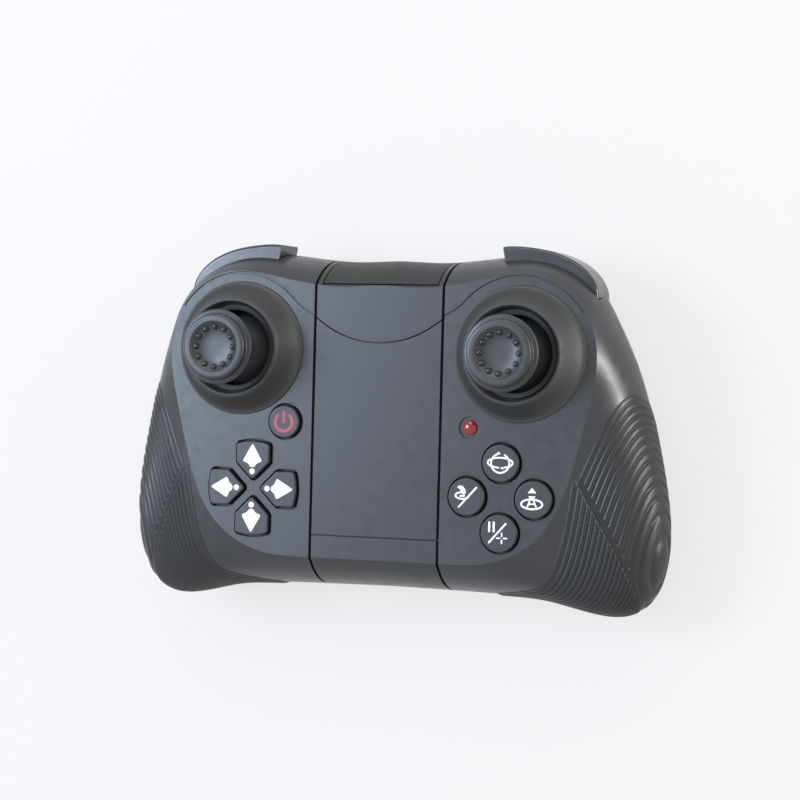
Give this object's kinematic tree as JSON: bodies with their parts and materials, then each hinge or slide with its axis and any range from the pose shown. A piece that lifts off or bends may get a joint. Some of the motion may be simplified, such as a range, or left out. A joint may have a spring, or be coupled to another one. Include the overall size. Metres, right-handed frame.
{
  "type": "radio transmitter controller",
  "caption": "Hand-held gamepad-style radio transmitter with two sprung sticks in raised rings, trim and function buttons, shoulder buttons and a pull-out phone hook.",
  "frame": {"origin": "centre of the bounding box, at the plane that the grips and battery hump rest on", "axes": "+X to the right of the holder, +Y toward the shoulder buttons, +Z out of the face"},
  "size_m": [0.1562, 0.0994, 0.0579],
  "materials": {
    "shell": "fine matte dark moulding",
    "panel": "satin dark moulding",
    "bezel": "satin dark ring",
    "stick_cap": "soft matte rubber",
    "stick_shaft": "smooth",
    "boot": "dull dark",
    "gimbal": "nylon, natural grey",
    "sensor": "moulded",
    "button": "polished dark",
    "shoulder": "gloss dark",
    "hook": "satin dark",
    "slide": "low-friction moulding",
    "pad": "soft",
    "steel": "plated",
    "board": "solder mask",
    "chip": "moulded",
    "switch": "moulded",
    "led": "tinted lens",
    "cable": "jacket",
    "battery": "plain wrapped cell",
    "door": "fine matte dark moulding"
  },
  "bodies": {
    "case": {"antenna": "cable", "back_shell": "shell", "badge_panel": "panel", "batteries": "battery", "battery_contacts": "steel", "battery_springs": "steel", "board_chips": "chip", "board_screws": "steel", "button_switches": "switch", "buzzer": "chip", "center_panel": "panel", "clamp_guide": "slide", "clamp_spring": "steel", "clamp_spring_pin": "steel", "front_shell": "shell", "left_axle_sensor": "sensor", "left_gimbal_housing": "gimbal", "left_stick_bezel": "bezel", "lower_panel": "panel", "main_board": "board", "right_axle_sensor": "sensor", "right_gimbal_housing": "gimbal", "right_stick_bezel": "bezel", "seat_pad": "pad", "shell_screws": "steel", "shoulder_pivot_pins": "steel", "shoulder_switches": "switch", "status_led": "led"},
    "left_ring": {"left_gimbal_ring": "gimbal", "left_ring_sensor": "sensor"},
    "left_stick": {"left_stick_cap": "stick_cap", "left_stick_shaft": "stick_shaft", "left_stick_boot": "boot"},
    "right_ring": {"right_gimbal_ring": "gimbal", "right_ring_sensor": "sensor"},
    "right_stick": {"right_stick_cap": "stick_cap", "right_stick_shaft": "stick_shaft", "right_stick_boot": "boot"},
    "power_button": {"power_button": "button"},
    "trim_forward_button": {"trim_forward_button": "button"},
    "trim_left_button": {"trim_left_button": "button"},
    "trim_back_button": {"trim_back_button": "button"},
    "trim_right_button": {"trim_right_button": "button"},
    "mode_button": {"mode_button": "button"},
    "orbit_button": {"orbit_button": "button"},
    "camera_button": {"camera_button": "button"},
    "landing_button": {"landing_button": "button"},
    "left_shoulder_button": {"left_shoulder_button": "shoulder"},
    "right_shoulder_button": {"right_shoulder_button": "shoulder"},
    "clamp_carriage": {"clamp_carriage": "slide"},
    "clamp_slider": {"clamp_slider": "slide", "phone_hook": "hook", "hook_pad": "pad"},
    "battery_door": {"battery_door": "door"}
  },
  "joints": [
    {"name": "left_stick_pitch", "type": "hinge", "parent": "case", "child": "left_ring", "pos_m": [-0.0405, 0.0205, 0.0285], "axis": [1, 0, 0], "range_deg": [-18, 18], "stiffness_Nm_per_rad": 0.03},
    {"name": "left_stick_roll", "type": "hinge", "parent": "left_ring", "child": "left_stick", "pos_m": [-0.0405, 0.0205, 0.0285], "axis": [0, 1, 0], "range_deg": [-18, 18], "stiffness_Nm_per_rad": 0.03},
    {"name": "right_stick_pitch", "type": "hinge", "parent": "case", "child": "right_ring", "pos_m": [0.0405, 0.0205, 0.0285], "axis": [1, 0, 0], "range_deg": [-18, 18], "stiffness_Nm_per_rad": 0.03},
    {"name": "right_stick_roll", "type": "hinge", "parent": "right_ring", "child": "right_stick", "pos_m": [0.0405, 0.0205, 0.0285], "axis": [0, 1, 0], "range_deg": [-18, 18], "stiffness_Nm_per_rad": 0.03},
    {"name": "power_press", "type": "slide", "parent": "case", "child": "power_button", "axis": [0, 0, -1], "range_m": [0, 0.001], "stiffness_N_per_m": 400},
    {"name": "trim_forward_press", "type": "slide", "parent": "case", "child": "trim_forward_button", "axis": [0, 0, -1], "range_m": [0, 0.001], "stiffness_N_per_m": 400},
    {"name": "trim_left_press", "type": "slide", "parent": "case", "child": "trim_left_button", "axis": [0, 0, -1], "range_m": [0, 0.001], "stiffness_N_per_m": 400},
    {"name": "trim_back_press", "type": "slide", "parent": "case", "child": "trim_back_button", "axis": [0, 0, -1], "range_m": [0, 0.001], "stiffness_N_per_m": 400},
    {"name": "trim_right_press", "type": "slide", "parent": "case", "child": "trim_right_button", "axis": [0, 0, -1], "range_m": [0, 0.001], "stiffness_N_per_m": 400},
    {"name": "mode_press", "type": "slide", "parent": "case", "child": "mode_button", "axis": [0, 0, -1], "range_m": [0, 0.001], "stiffness_N_per_m": 400},
    {"name": "orbit_press", "type": "slide", "parent": "case", "child": "orbit_button", "axis": [0, 0, -1], "range_m": [0, 0.001], "stiffness_N_per_m": 400},
    {"name": "camera_press", "type": "slide", "parent": "case", "child": "camera_button", "axis": [0, 0, -1], "range_m": [0, 0.001], "stiffness_N_per_m": 400},
    {"name": "landing_press", "type": "slide", "parent": "case", "child": "landing_button", "axis": [0, 0, -1], "range_m": [0, 0.001], "stiffness_N_per_m": 400},
    {"name": "left_shoulder_press", "type": "hinge", "parent": "case", "child": "left_shoulder_button", "pos_m": [-0.036, 0.0415, 0.0245], "axis": [0, 0, 1], "range_deg": [0, 3], "stiffness_Nm_per_rad": 0.5},
    {"name": "right_shoulder_press", "type": "hinge", "parent": "case", "child": "right_shoulder_button", "pos_m": [0.036, 0.0415, 0.0245], "axis": [0, 0, -1], "range_deg": [0, 3], "stiffness_Nm_per_rad": 0.5},
    {"name": "clamp_first_stage", "type": "slide", "parent": "case", "child": "clamp_carriage", "axis": [0, 1, 0], "range_m": [0, 0.036], "stiffness_N_per_m": 30},
    {"name": "clamp_second_stage", "type": "slide", "parent": "clamp_carriage", "child": "clamp_slider", "axis": [0, 1, 0], "range_m": [0, 0.036], "stiffness_N_per_m": 30},
    {"name": "battery_door_hinge", "type": "hinge", "parent": "case", "child": "battery_door", "pos_m": [0, -0.0121, 0.0011], "axis": [-1, 0, 0], "range_deg": [0, 75]}
  ],
  "couplings": [
    {"joint": "clamp_second_stage", "follows": "clamp_first_stage", "ratio": 1}
  ]
}
